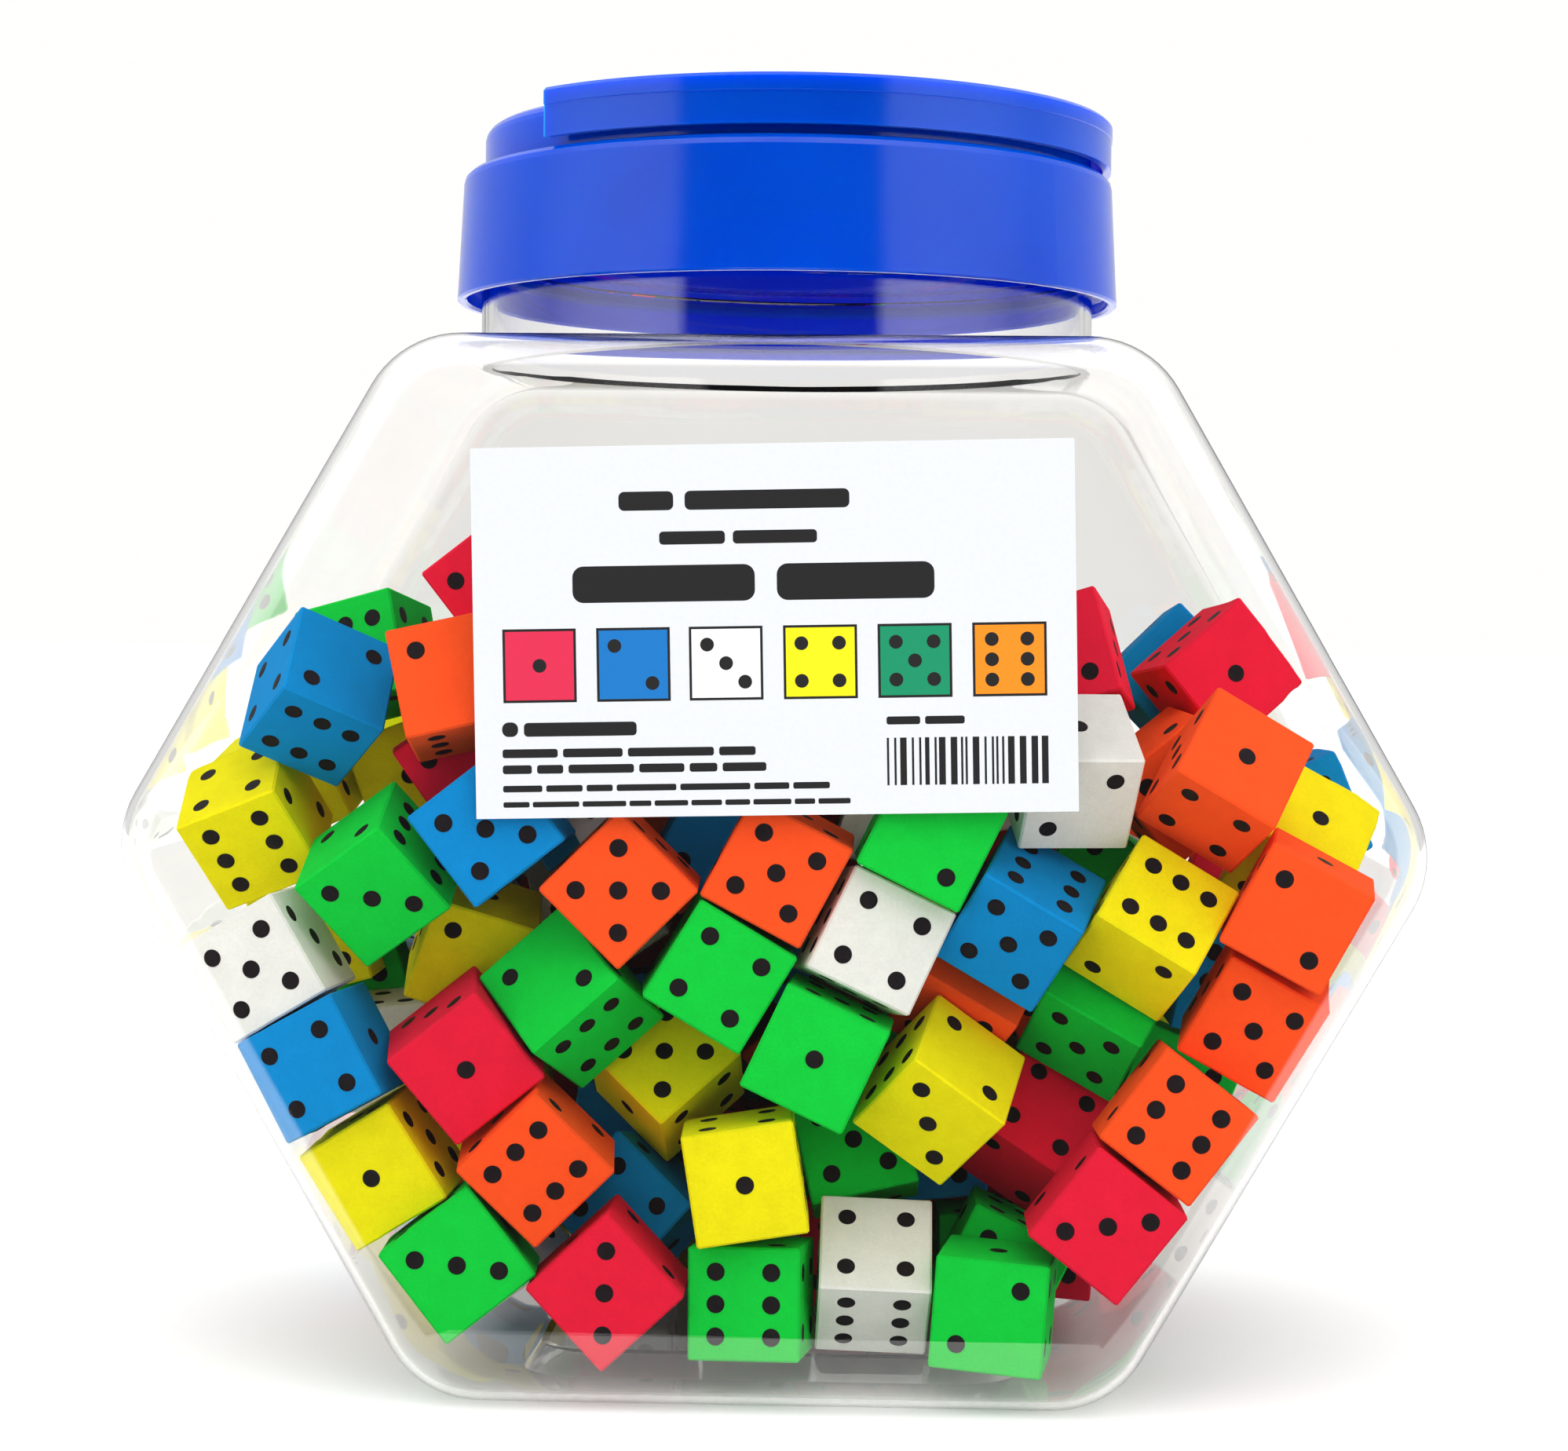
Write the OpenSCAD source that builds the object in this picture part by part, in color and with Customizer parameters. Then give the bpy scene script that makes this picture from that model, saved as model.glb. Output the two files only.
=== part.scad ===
// Clear hexagonal tub of foam dice, with a screw cap that has a flip-top flap.
// Millimetres. Z is up, -Y is the labelled front, and the tub stands on z = 0.

/* [Tub] */
// Width across the sharp side corners of the hexagon
tub_w = 186; // [180:1:192]
// Height of the tub's body, from the table to its flat shoulder
tub_h = 149; // [146:1:154]
// Depth of the tub's body, front panel to back panel
tub_d = 104; // [102:1:110]
// Height of the side corners above the table
waist_z = 77.5; // [74:0.5:80]
// Radius of the hexagon's corners, seen from the front
corner_r = 14.5; // [12:0.5:18]
// Radius where the front and back panels roll into the sides
edge_r = 6.5; // [5:0.5:8]
// Wall thickness
wall = 1; // [0.8:0.1:1.2]
// Height of the pushed-up base inside the standing rim
push_up = 4; // [2:0.5:5]

/* [Neck] */
// Outer radius of the neck
neck_r = 46.4; // [46:0.1:46.8]
// Wall thickness of the neck
neck_wall = 1.6; // [1.2:0.1:2]
// Height of the neck's rim above the table
neck_top = 173.9; // [173:0.1:173.9]
// Rise of the thread in one turn
pitch = 5; // [4.6:0.1:5.4]
// Height of the threads above the neck and inside the cap
thread_depth = 1.2; // [0.8:0.1:1.3]

/* [Cap] */
// Outer radius of the cap at its lower edge
cap_r = 50.1; // [50:0.1:50.5]
// Outer radius of the cap at its shoulder
cap_top_r = 49.2; // [49:0.1:49.4]
// Wall thickness of the cap's skirt
skirt_t = 1.4; // [1.2:0.1:1.5]
// Height of the cap's lower edge when it is screwed down
cap_z = 157.4; // [157:0.1:158]
// Height of the cap's shoulder
shoulder_z = 176.4; // [176.2:0.1:176.7]
// Outer radius of the raised deck
deck_r = 46; // [45.5:0.1:46.4]
// Height of the fixed half of the deck
deck_z = 183.3; // [182.8:0.1:183.5]
// Direction in which the flap's free edge points, turned from +X
flap_dir = -37.5; // [-60:2.5:0]
// Distance of the hinge line behind the cap's axis
hinge_back = 4.5; // [2:0.5:8]
// Radius of the dispensing opening
mouth_r = 38; // [34:1:39]

/* [Flap] */
// Height of the flap's top
flap_z = 184.6; // [184.2:0.1:184.8]
// Gap between the flap's skirt and the cap's shoulder
flap_gap = 1.2; // [1:0.1:1.5]
// Wall thickness of the flap
flap_t = 1.4; // [1.2:0.1:1.4]
// Radius of the flap's hinge barrel
barrel_r = 2; // [1.8:0.1:2]
// Radius of the two hinge pins
pin_r = 1.1; // [0.9:0.1:1.2]
// Running clearance round the hinge pins
pin_gap = 0.05; // [0.03:0.01:0.1]

/* [Label] */
// Width of the paper label
label_w = 82.5; // [80:0.5:84]
// Height of the paper label
label_h = 50.8; // [50:0.1:52]
// Distance of the label's middle from the tub's middle plane
label_x = 0.6; // [-1:0.1:1]
// Height of the label's middle above the table
label_z = 108.2; // [107:0.1:109]
// Tilt of the label
label_tilt = 1.4; // [0:0.1:2]

/* [Dice] */
// Edge of each foam die
die = 15.7; // [15.5:0.05:15.8]
// Seed of the hidden dice
seed = 17; // [1:1:99]
// Dice tried for each place in the hidden layers
tries = 50; // [20:5:60]
// Dice in each hidden layer
layer_count = 46; // [30:1:50]
// Level of the top of the heap, at the middles of its dice
heap_z = 116; // [100:1:122]
// Steps that ease the dice clear of each other
settle_steps = 200; // [80:20:240]

/* [Hidden] */
$fn = 96;
slope = 30;                          // lean of the hexagon's side walls from the vertical
half_d = tub_d / 2;
inner_d = half_d - wall;             // inner face of the front and back panels
bore_r = neck_r - neck_wall;
thread_z = cap_z + 5;                // lower end of the neck's thread
liner_t = 1;
liner_gap = 0.05;
ledge_z = neck_top + liner_t + 2 * liner_gap;
groove_z = shoulder_z + flap_gap;    // lower edge of the flap's skirt
platform_z = 181.4;                  // deck under the flap
pin_z = flap_z - barrel_r;           // height of the hinge axis
cove_r = barrel_r + 0.3;
barrel_half = 41.5;                  // half the length of the hinge barrel
pin_end = 43.5;                      // tip of each hinge pin, from the middle of the hinge
flap_in_r = cap_top_r - flap_t;

// ---------------------------------------------------------------- tub

// Half the hexagon's width at height z, for walls moved inwards by inset
function half_w(z, inset) = tub_w / 2 - inset / cos(slope) - abs(waist_z - z) * tan(slope);

// Centres of the hexagon's six corner roundings, as [x, z]
function corner_centres() =
    [for (z = [corner_r, waist_z, tub_h - corner_r], side = [-1, 1])
        [side * half_w(z, corner_r), z]];

// One rounded corner of the tub, front and back, inside the outer skin by inset
module corner_pair(inset) {
    for (side = [-1, 1])
        translate([0, side * (half_d - edge_r), 0]) rotate([90, 0, 0])
            rotate_extrude($fn = 32) intersection() {
                translate([corner_r - edge_r, 0]) circle(edge_r - inset, $fn = 24);
                translate([0, -edge_r]) square([corner_r, 2 * edge_r]);
            }
}

// The hexagonal body as a solid, inside the outer skin by inset
module hexagon_block(inset) {
    hull()
        for (c = corner_centres())
            translate([c[0], 0, c[1]]) corner_pair(inset);
}

// The pushed-up part of the base, grown by inset and rising to height top
module base_panel(inset, top) {
    slope_in = 4;
    hull()
        for (sx = [-1, 1], sy = [-1, 1])
            translate([sx * (26 + inset), sy * (28 + inset), -1])
                cylinder(r1 = 6 + slope_in, r2 = 6, h = top + 1, $fn = 24);
}

// A helical thread ridge on radius r, rising from z0; outward is 1 on the neck, -1 in the cap
module thread(r, z0, outward) {
    turns = 1.25;
    steps = 64;
    root = 0.5;
    run_out = 6;                     // steps over which each end fades
    rings = [for (i = [0:steps])
        let (a = 360 * turns * i / steps, z = z0 + pitch * turns * i / steps,
             tip = outward * thread_depth * min(1, min(i, steps - i) / run_out))
        [for (p = [[-outward * root, -1.3], [tip, -0.5], [tip, 0.5], [-outward * root, 1.3]])
            [(r + p[0]) * cos(a), (r + p[0]) * sin(a), z + p[1]]]];
    sides = [for (i = [0:steps - 1], j = [0:3])
        let (a = 4 * i + j, b = 4 * i + (j + 1) % 4)
        outward > 0 ? [a, b, b + 4, a + 4] : [a, a + 4, b + 4, b]];
    first = [0, 1, 2, 3];
    last = [for (j = first) 4 * steps + 3 - j];
    ends = outward > 0 ? [[3, 2, 1, 0], [for (j = first) 4 * steps + j]] : [first, last];
    polyhedron([for (q = rings, p = q) p], concat(sides, ends));
}

module tub_body() {
    color([0.85, 0.92, 0.95, 0.3])
    difference() {
        union() {
            hexagon_block(0);
            translate([0, 0, tub_h - 10]) cylinder(r = neck_r, h = neck_top - tub_h + 10);
            thread(neck_r, thread_z, 1);
        }
        difference() {
            hexagon_block(wall);
            base_panel(wall, push_up + wall);
        }
        base_panel(0, push_up);
        translate([0, 0, tub_h - 10]) cylinder(r = bore_r, h = neck_top - tub_h + 11);
    }
}

module paper_label() {
    paper = 0.15;
    color("white")
    translate([label_x, -half_d - paper / 2, label_z]) rotate([0, -label_tilt, 0])
        cube([label_w, paper, label_h], center = true);
}

// ---------------------------------------------------------------- cap

module seal_liner() {
    color("whitesmoke")
    translate([0, 0, neck_top + liner_gap])
        difference() {
            cylinder(r = neck_r + 0.6, h = liner_t);
            translate([0, 0, -1]) cylinder(r = bore_r - 1.2, h = liner_t + 2);
        }
}

// Everything on the flap's side of the hinge line, starting at distance from
module flap_side(from) {
    translate([from - hinge_back, -60, 0]) cube([120, 120, 250]);
}

// A round bar along the hinge line
module hinge_bar(r, half_length) {
    translate([-hinge_back, 0, pin_z]) rotate([90, 0, 0])
        cylinder(r = r, h = 2 * half_length, center = true);
}

// Skirt, shoulder and raised deck, turned from one outline
module cap_shell() {
    round_r = 1.5;
    rotate_extrude()
        polygon(concat(
            [[bore_r - 1.8, ledge_z], [cap_top_r - skirt_t, ledge_z],
             [cap_r - skirt_t, cap_z + 0.4], [cap_r - skirt_t + 0.4, cap_z],
             [cap_r - 0.3, cap_z], [cap_r, cap_z + 0.3]],
            [for (a = [0:30:90])
                [cap_top_r - round_r + round_r * cos(a), shoulder_z - round_r + round_r * sin(a)]],
            [[deck_r, shoulder_z], [deck_r, platform_z], [0, platform_z],
             [0, platform_z - 1.6], [deck_r - 1.5, platform_z - 1.6],
             [deck_r - 1.5, ledge_z + 1.4], [bore_r - 1.8, ledge_z + 1.4]]));
}

// The fixed half of the deck, higher than the half under the flap
module fixed_deck() {
    round_r = 2;
    difference() {
        rotate_extrude()
            polygon(concat(
                [[0, platform_z - 1], [deck_r, platform_z - 1]],
                [for (a = [0:22.5:90])
                    [deck_r - round_r + round_r * cos(a), deck_z - round_r + round_r * sin(a)]],
                [[0, deck_z]]));
        flap_side(-cove_r + 1);
        translate([0, 0, platform_z - 1.7]) difference() {
            cylinder(r = deck_r - 1.6, h = deck_z - platform_z + 0.2);
            translate([0, 0, -200]) flap_side(-cove_r - 2);
        }
    }
}

// Two ears of the deck that hold the hinge pins
module hinge_ears() {
    intersection() {
        union() {
            hinge_bar(barrel_r, 50);
            translate([-hinge_back - barrel_r, -50, platform_z - 1])
                cube([2 * barrel_r, 100, pin_z - platform_z + 1]);
        }
        difference() {
            translate([0, 0, platform_z - 2]) cylinder(r = deck_r, h = 20);
            translate([-100, -barrel_half - 0.3, 0]) cube([200, 2 * barrel_half + 0.6, 250]);
        }
    }
}

// The D-shaped dispensing opening
module mouth(r, from) {
    intersection() {
        translate([0, 0, 170]) cylinder(r = r, h = 20);
        flap_side(from);
    }
}

module screw_cap() {
    color([0.02, 0.2, 0.8])
    rotate([0, 0, flap_dir])
    difference() {
        union() {
            cap_shell();
            fixed_deck();
            hinge_ears();
            // Rib that carries the cove below the barrel
            intersection() {
                translate([-hinge_back - 4, -50, platform_z - 4]) cube([8, 100, 4]);
                translate([0, 0, 170]) cylinder(r = deck_r - 0.5, h = 20);
            }
            thread(cap_r - skirt_t - 0.4, thread_z - pitch / 2, -1);
        }
        hinge_bar(cove_r, barrel_half + 0.3);
        hinge_bar(pin_r + pin_gap, pin_end + 0.3);
        mouth(mouth_r, 8);
    }
}

module flip_flap() {
    color([0.02, 0.22, 0.85])
    rotate([0, 0, flap_dir]) {
        difference() {
            intersection() {
                rotate_extrude()
                    polygon([[0, flap_z], [cap_top_r - 0.5, flap_z], [cap_top_r, flap_z - 0.5],
                             [cap_top_r, flap_z - 2.4], [cap_top_r - 0.15, flap_z - 2.5],
                             [cap_top_r - 0.15, groove_z],
                             [flap_in_r, groove_z], [flap_in_r, flap_z - flap_t],
                             [0, flap_z - flap_t]]);
                flap_side(0);
            }
            // Room for the ears
            intersection() {
                cylinder(r = deck_r + 0.3, h = 250);
                for (side = [-1, 1])
                    translate([-hinge_back - 5, side * (barrel_half + 5) - 5, 170])
                        cube([5 + barrel_r + 0.4, 10, 20]);
            }
        }
        // Rim that rests on the deck round the mouth
        intersection() {
            translate([0, 0, platform_z + 0.05]) difference() {
                cylinder(r = mouth_r + 4, h = flap_z - flap_t - platform_z);
                translate([0, 0, -1]) cylinder(r = mouth_r + 2.5, h = 20);
            }
            flap_side(8);
        }
        hinge_bar(barrel_r, barrel_half);
        hinge_bar(pin_r, pin_end);
    }
}

// ---------------------------------------------------------------- dice

// Dice seen from the front, as [colour, x, z, depth of the middle behind the front panel,
// spin in the panel's plane, lean about X, turn about Z]
FRONT_DICE = [
    ["green", -59, 76, 11.5, 38, 22, 0],
    ["blue", -42.5, 79.5, 8.2, 38, 0, 0],
    ["yellow", -78.5, 76, 18, 25, 29, 5],
    ["blue", -62, 93, 21, -28, -34, 41],
    ["green", -58, 99, 37, 15, -10, -15],
    ["orange", -45.5, 98, 14, 13, -15, 2],
    ["yellow", -44, 63, 25, -18, 16, 6],
    ["yellow", -14, 41, 27, 45, -30, 0],
    ["blue", -17.5, 24.5, 26, 50, -10, -15],
    ["green", -29.5, 53, 14, 48, -26, -24],
    ["green", 16.5, 32, 28, 14, -18, 0],
    ["yellow", 25.5, 44.5, 12, -42, 29, -14],
    ["red", 38, 31, 31, -39, -30, 18],
    ["green", 46, 52, 25, -37, -38, 17],
    ["orange", 30, 57, 18, -38, -36, 26],
    ["white", 45, 87, 18, 0, 35, 12],
    ["red", 48, 92, 33, 17, -12, -12],
    ["blue", 54, 97, 46, 44, -5, 4],
    ["orange", 57, 89, 35, -51, 4, 10],
    ["red", 66, 90, 34, 40, -5, 15],
    ["blue", 74, 87, 42, 23, 0, 10],
    ["blue", 40.5, 76.5, 11.8, -33, 23, -16],
    ["yellow", 56, 70, 11.5, -37, -32, 18],
    ["orange", 62, 82.5, 15, -35, -28, 20],
    ["yellow", 76, 76.5, 16, -37, -38, 22],
    ["orange", 72.5, 67, 10, -28, 5, -8],
    ["white", 14.5, 14.5, 15, -3, -46, 4],
    ["green", -6, 14.5, 10.5, 1, -5, -6],
    ["yellow", -1, 33, 8.2, 9, 0, 2],
    ["green", 32, 13, 10, -4, 0, -8],
    ["red", -44.5, 45.5, 9.8, 39, 8, 8],
    ["yellow", -56, 36, 11.5, 32, 5, -5],
    ["green", -46, 21.8, 9.5, 38, -3, 4],
    ["blue", -63.5, 49, 11, 29, 0, -8],
    ["white", -71, 63, 12, 31, 0, -6],
    ["red", -28, 16, 10, 43, 0, 0],
    ["orange", -32.8, 34.8, 9, 45, 6, 5],
    ["white", -42, 12.5, 27, 36, 10, -15],
    ["orange", -22.5, 70.5, 8.4, 45, 2, 2],
    ["orange", 1, 75, 8.6, -28, 4, 0],
    ["green", -7.8, 59.3, 8.8, -31, 0, 5],
    ["green", 8, 50.5, 8.4, -25, 0, -2],
    ["white", 14.8, 63.3, 10, -26, -6, 10],
    ["green", 22.5, 79, 8.6, -26, 0, 2],
    ["orange", 65.5, 53.3, 10, -29, 10, -8],
    ["orange", 53.2, 39, 9, -37, -3, 0],
    ["red", 46.8, 24.2, 9, -38, 0, 0],
    ["yellow", -73, 88, 36, 24, 10, 0],
    ["red", -47, 87, 30, 35, 0, 10],
    ["white", -27, 84, 26, 30, 0, 0],
    ["blue", -10.5, 78, 27, -28, 0, 6],
    ["green", 40, 14.5, 27, -26, 0, 0],
    ["red", -40, 112, 32, 38, 0, 0],
    ["green", -37, 107, 14, 25, 0, 0]
];
COLOURS = ["red", "blue", "white", "yellow", "green", "orange"];

half = die / 2;
clear = 0.3;                         // least gap between two dice
layer_y = [26.5, 43.5, 60.3, 77.1, 2 * inner_d - half - 0.3];   // middles of the hidden layers

function sum_abs(v) = abs(v.x) + abs(v.y) + abs(v.z);

// A die's three edge directions, as rows
function edges(r) =
    let (s = r[0], l = r[1], t = r[2],
         raw = [[cos(s), 0, sin(s)], [0, 1, 0], [-sin(s), 0, cos(s)]])
    [for (e = raw)
        let (y = e.y * cos(l) - e.z * sin(l), z = e.y * sin(l) + e.z * cos(l))
        [e.x * cos(t) - y * sin(t), e.x * sin(t) + y * cos(t), z]];

// Inward planes [normal, offset] that hold the dice: walls and waist, panels, and the
// roundings between them
function side_planes() =
    let (w = half_w(waist_z, wall))
    concat(
        [for (s = [-1, 1]) [[-s, 0, 0], -(w - 0.155 * corner_r)]],
        [for (s = [-1, 1], up = [-1, 1])
            [[-s * cos(slope), 0, -up * sin(slope)], -w * cos(slope) - up * waist_z * sin(slope)]],
        [for (s = [-1, 1])
            [[-s * cos(60), 0, sin(60)], -half_w(0, wall) * cos(60) + 0.19 * corner_r]]);
function panel_planes() = [for (s = [-1, 1]) [[0, s, 0], -inner_d]];
function roll_planes() =
    [for (p = concat(side_planes(), [[[0, 0, 1], wall]]), q = panel_planes(), t = [22.5, 45, 67.5])
        [p[0] * cos(t) + q[0] * sin(t),
         p[1] * cos(t) + q[1] * sin(t) + (edge_r - wall) * (cos(t) + sin(t) - 1)]];
wall_gap = 0.3;                      // least gap between a die and the tub
CAGE = concat(side_planes(), panel_planes(), roll_planes());

// The base under a die: the pushed-up panel, or the rim round it
function base_under(c) = wall + wall_gap + (abs(c.x) < 44 ? push_up : 0);

// How far the walls push a die at c with edge directions e
function wall_push(c, e) =
    let (up = base_under(c) + half * sum_abs(e * [0, 0, 1]) - c.z,
         shoves = [for (p = CAGE)
             let (deep = p[1] + wall_gap + half * sum_abs(e * p[0]) - p[0] * c)
             if (deep > 0) p[0] * deep])
    (up > 0 ? [0, 0, up] : [0, 0, 0]) + total(shoves);
function total(list) =
    len(list) == 0 ? [0, 0, 0]
    : [for (k = [0:2]) let (col = [for (v = list) v[k]]) col * [for (v = list) 1]];

// Overlap of two dice along direction n: [depth, push direction]
function overlap(n, d, ea, eb) =
    let (along = n * d)
    [half * (sum_abs(ea * n) + sum_abs(eb * n)) + clear - abs(along), along < 0 ? n : -n];
function shallowest(list) = let (m = min([for (o = list) o[0]])) [for (o = list) if (o[0] == m) o][0];
function cross_axes(ea, eb) =
    [for (a = ea, b = eb) let (n = cross(a, b), len2 = n * n) if (len2 > 0.02) n / sqrt(len2)];

// The push on die A from die B, where d runs from A to B: nothing if they are apart
function die_push(d, ea, eb) =
    let (face = [for (n = concat(ea, eb)) overlap(n, d, ea, eb)], first = shallowest(face))
    first[0] <= 0 ? [0, 0, 0]
    : let (best = shallowest(concat([first], [for (n = cross_axes(ea, eb)) overlap(n, d, ea, eb)])))
      best[0] <= 0 ? [0, 0, 0] : best[0] * best[1];

// One easing step: each die moves half way out of its neighbours, and fully out of the walls
function eased(at, e) =
    [for (i = [0:len(at) - 1])
        let (near = [for (j = [0:len(at) - 1])
                 let (d = at[j] - at[i])
                 if (j != i && abs(d.x) < 27.5 && abs(d.z) < 27.5 && abs(d.y) < 27.5 && d * d < 756)
                     die_push(d, e[i], e[j])],
             moved = at[i] + total(near) * 0.4)
        moved + wall_push(moved, e[i]) * 0.7];
function settled(at, e, steps) = steps == 0 ? at : settled(eased(at, e), e, steps - 1);

// Heights at which a square at x, spin s and half size h meets the square q = [x, z, spin, half]
function meets(x, s, h, q) =
    let (spans = [for (t = [s, s + 90, q[2], q[2] + 90])
             let (u = t % 180 + 0.001, r = h * (abs(cos(s - u)) + abs(sin(s - u)))
                      + q[3] * (abs(cos(q[2] - u)) + abs(sin(q[2] - u))),
                  k = cos(u) * (x - q[0]))
             [(-r - k) / sin(u), (r - k) / sin(u)]])
    [q[1] + max([for (v = spans) v[0]]), q[1] + min([for (v = spans) v[1]])];

// The lowest height at or above z that no span covers
function rest_on(z, spans) =
    let (hit = [for (v = spans) if (v[0] < z - 0.001 && z < v[1] - 0.001) v[1]])
    len(hit) == 0 ? z : rest_on(max(hit), spans);

// The lowest rest of a square at x and spin s in a layer, or 999 where the upper walls stop it
function lowest(x, s, h, laid, floor_z) =
    let (walls = [for (p = side_planes())
             let (reach = h * (abs(p[0] * [cos(s), 0, sin(s)]) + abs(p[0] * [-sin(s), 0, cos(s)])))
             [p[0].z, p[1] + reach - p[0].x * x]],
         low = max(concat([floor_z + h * (cos(s) + sin(s))],
                          [for (w = walls) if (w[0] > 0) w[1] / w[0]])),
         spans = [for (q = laid) if (abs(q[0] - x) < 24) meets(x, s, h, q)],
         z = rest_on(low, [for (v = spans) if (v[0] < v[1]) v]),
         high = min([for (w = walls) if (w[0] < 0) w[1] / w[0]]))
    z > high || abs(x) > 90 ? 999 : z;

// One hidden layer: each die takes the lowest of several random places
function laid_layer(laid, n, h, floor_z, key) =
    n == 0 ? laid
    : let (xs = rands(-82, 82, tries, key + n), ss = rands(0, 90, tries, key + n + 500),
           zs = [for (i = [0:tries - 1]) lowest(xs[i], ss[i], h, laid, floor_z)],
           z = min(zs), i = [for (k = [0:tries - 1]) if (zs[k] == z) k][0])
      laid_layer(concat(laid, [[xs[i], z, ss[i], h]]), n - 1, h, floor_z, key);

// Footprints of the front dice that reach back into the first hidden layer
function front_footprints() =
    [for (f = FRONT_DICE)
        let (e = edges([f[4], f[5], f[6]]), reach = half * sum_abs(e * [0, 1, 0]))
        if (f[3] + reach > layer_y[0] - half + 0.5)
            [f[1], f[2], ((f[4] % 90) + 90) % 90, half * (1 + 0.5 * sqrt(1 - pow(e[1].y, 2)))]];

// Every die as [colour, middle, rotation]
function all_dice() =
    let (front = [for (f = FRONT_DICE) [f[0], [f[1], f[3] - inner_d, f[2]], [f[4], f[5], f[6]]]],
         hidden = [for (k = [0:4])
             let (base = k == 0 ? front_footprints() : [],
                  floor_z = k == 4 ? wall + 2 : wall + push_up,
                  count = layer_count - (k == 0 ? 18 : 0),
                  all = laid_layer(base, count, half + 0.35, floor_z, seed + 1000 * k),
                  tilt = rands(-4, 4, 2 * len(all), seed + k),
                  hue = rands(0, 5.999, len(all), seed + 50 + k))
             for (i = [len(base):1:len(all) - 1])
                 if (all[i][1] < pile_top(all[i][0]))
                 [COLOURS[floor(hue[i])], [all[i][0], layer_y[k] - inner_d, all[i][1]],
                  [all[i][2], k == 4 ? 0 : tilt[2 * i], k == 4 ? 0 : tilt[2 * i + 1]]]],
         dice = concat(front, hidden),
         e = [for (q = dice) edges(q[2])],
         at = settled([for (q = dice) q[1]], e, settle_steps))
    [for (i = [0:len(dice) - 1]) [dice[i][0], at[i], dice[i][2]]];

// Level that the middles of the hidden dice reach at x: the pile is heaped in the middle
function pile_top(x) = heap_z - max(0, abs(x) - 36) * 1.2;

// The dice of one colour
module dice_of(colour_name, tint) {
    color(tint)
    for (q = all_dice())
        if (q[0] == colour_name)
            translate(q[1]) rotate([0, 0, q[2][2]]) rotate([q[2][1], 0, 0]) rotate([0, -q[2][0], 0])
                cube(die, center = true);
}

module red_dice() { dice_of("red", [0.85, 0.05, 0.2]); }
module blue_dice() { dice_of("blue", [0, 0.45, 0.8]); }
module white_dice() { dice_of("white", [0.93, 0.93, 0.9]); }
module yellow_dice() { dice_of("yellow", [0.95, 0.9, 0]); }
module green_dice() { dice_of("green", [0, 0.75, 0.2]); }
module orange_dice() { dice_of("orange", [1, 0.27, 0.08]); }

tub_body();
paper_label();
seal_liner();
screw_cap();
flip_flap();
red_dice();
blue_dice();
white_dice();
yellow_dice();
green_dice();
orange_dice();
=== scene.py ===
import math
import random
from itertools import product

import bmesh
import bpy
import numpy as np
from mathutils import Matrix, Vector


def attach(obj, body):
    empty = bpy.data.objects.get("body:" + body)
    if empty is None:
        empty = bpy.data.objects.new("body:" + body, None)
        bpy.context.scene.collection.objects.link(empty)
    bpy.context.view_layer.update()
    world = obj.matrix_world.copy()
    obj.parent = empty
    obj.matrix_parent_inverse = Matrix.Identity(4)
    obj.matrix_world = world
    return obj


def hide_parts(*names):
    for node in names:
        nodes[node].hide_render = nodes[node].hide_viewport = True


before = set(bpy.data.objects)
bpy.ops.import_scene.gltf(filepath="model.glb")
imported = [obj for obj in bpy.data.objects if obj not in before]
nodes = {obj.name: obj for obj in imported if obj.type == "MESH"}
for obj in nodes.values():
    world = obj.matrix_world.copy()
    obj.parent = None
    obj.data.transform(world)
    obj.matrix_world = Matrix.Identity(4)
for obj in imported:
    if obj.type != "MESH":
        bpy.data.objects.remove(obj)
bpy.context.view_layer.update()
MM = 0.001
WELD = 1e-7
ROUND_STEPS = 192
SIGNS = list(product((-1, 1), repeat=3))


# ---------------------------------------------------------------- small helpers

def new_mesh(name, verts, faces):
    """An object in the scene, from points in metres and faces of point numbers."""
    mesh = bpy.data.meshes.new(name)
    mesh.from_pydata([tuple(v) for v in verts], [], [tuple(f) for f in faces])
    mesh.validate()
    obj = bpy.data.objects.new(name, mesh)
    bpy.context.scene.collection.objects.link(obj)
    return obj


def new_solid(name, verts, faces):
    """A closed mesh with coinciding points welded and every face turned outwards."""
    obj = new_mesh(name, verts, faces)
    bm = bmesh.new()
    bm.from_mesh(obj.data)
    bmesh.ops.remove_doubles(bm, verts=bm.verts, dist=WELD)
    bmesh.ops.recalc_face_normals(bm, faces=bm.faces)
    bm.to_mesh(obj.data)
    bm.free()
    return obj


def boolean(obj, other, operation):
    """Joins or cuts obj with other, which is used up."""
    mod = obj.modifiers.new("cut", "BOOLEAN")
    mod.operation = operation
    mod.solver = "EXACT"
    mod.object = other
    graph = bpy.context.evaluated_depsgraph_get()
    mesh = bpy.data.meshes.new_from_object(obj.evaluated_get(graph))
    obj.modifiers.clear()
    before = obj.data
    obj.data = mesh
    bpy.data.meshes.remove(before)
    bpy.data.objects.remove(other)


def smooth_by_angle(obj, degrees):
    """Smooth shading that leaves edges sharper than the angle crisp."""
    mesh = obj.data
    mesh.shade_smooth()
    bm = bmesh.new()
    bm.from_mesh(mesh)
    bmesh.ops.recalc_face_normals(bm, faces=bm.faces)
    for edge in bm.edges:
        edge.smooth = edge.calc_face_angle(math.pi) < math.radians(degrees)
    bm.to_mesh(mesh)
    bm.free()


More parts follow.
